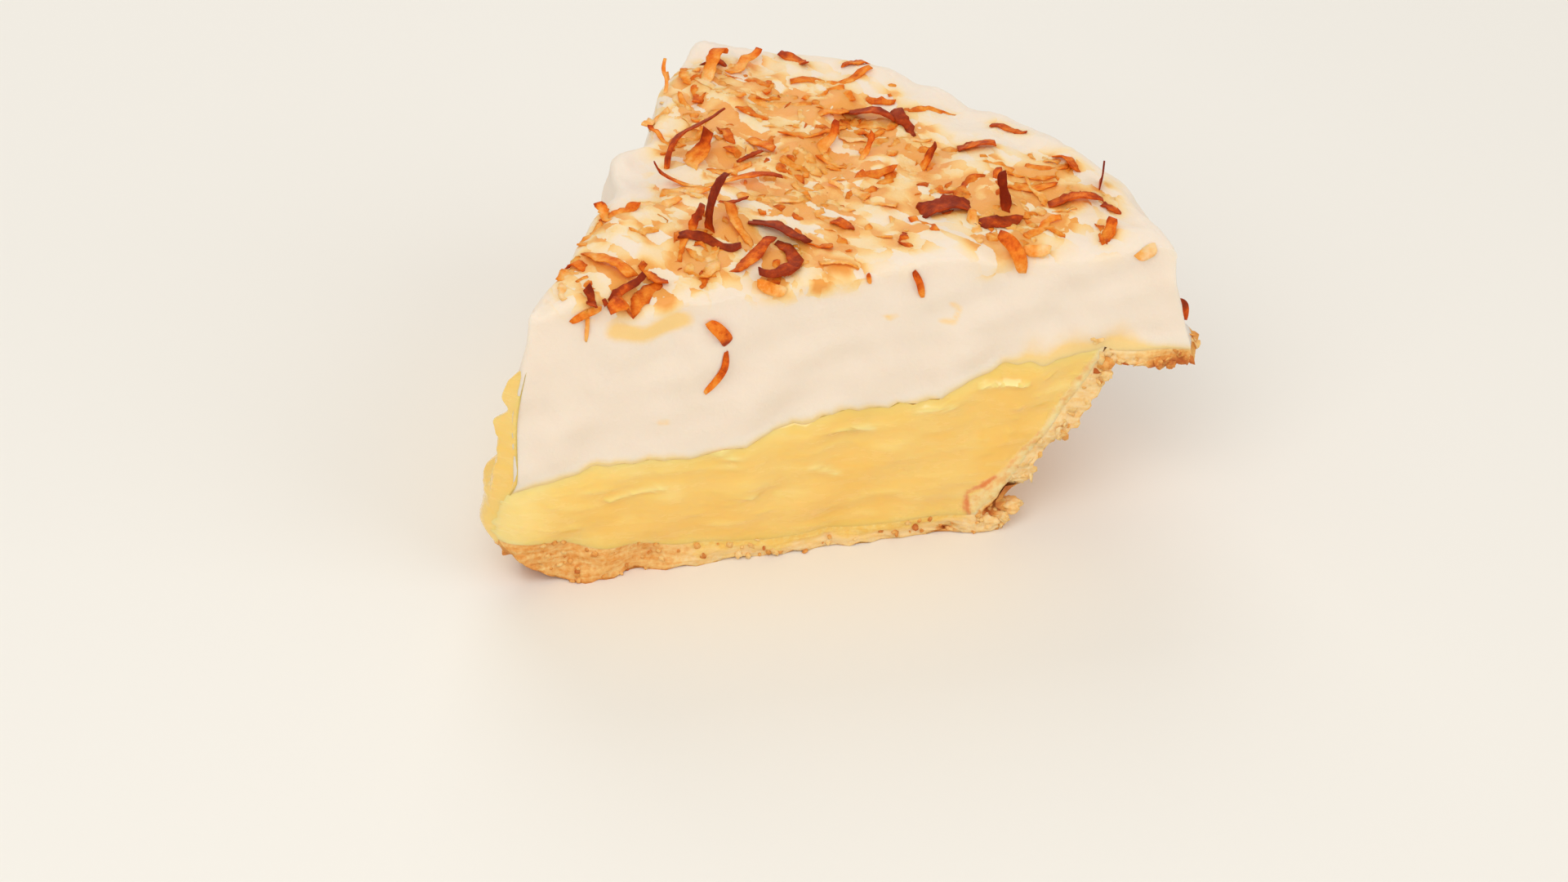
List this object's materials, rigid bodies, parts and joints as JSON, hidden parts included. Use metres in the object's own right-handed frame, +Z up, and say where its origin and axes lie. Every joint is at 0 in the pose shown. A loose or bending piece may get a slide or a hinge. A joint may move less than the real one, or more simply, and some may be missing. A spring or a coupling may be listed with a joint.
{
  "type": "coconut meringue pie slice",
  "caption": "Cut slice of pie: flaky crust with a rim, custard filling, tall meringue and toasted coconut on top.",
  "frame": {"origin": "on the ground, below the middle of the bounding box", "axes": "+X from the tip towards the rounded rim, halving the angle between the cuts; +Y towards the far cut; +Z up"},
  "size_m": [0.1256, 0.1216, 0.0731],
  "materials": {
    "baked_crust": "baked pastry, pale gold with browned edges, matt and flaky",
    "custard": "set yellow custard with a soft wet sheen where it was cut",
    "meringue": "baked meringue, warm white and satin, with golden stains on top",
    "toasted_coconut": "dry toasted coconut shreds, from pale gold to dark brown"
  },
  "bodies": {
    "root": {"crust": "baked_crust", "custard": "custard", "meringue": "meringue"}
  },
  "joints": []
}
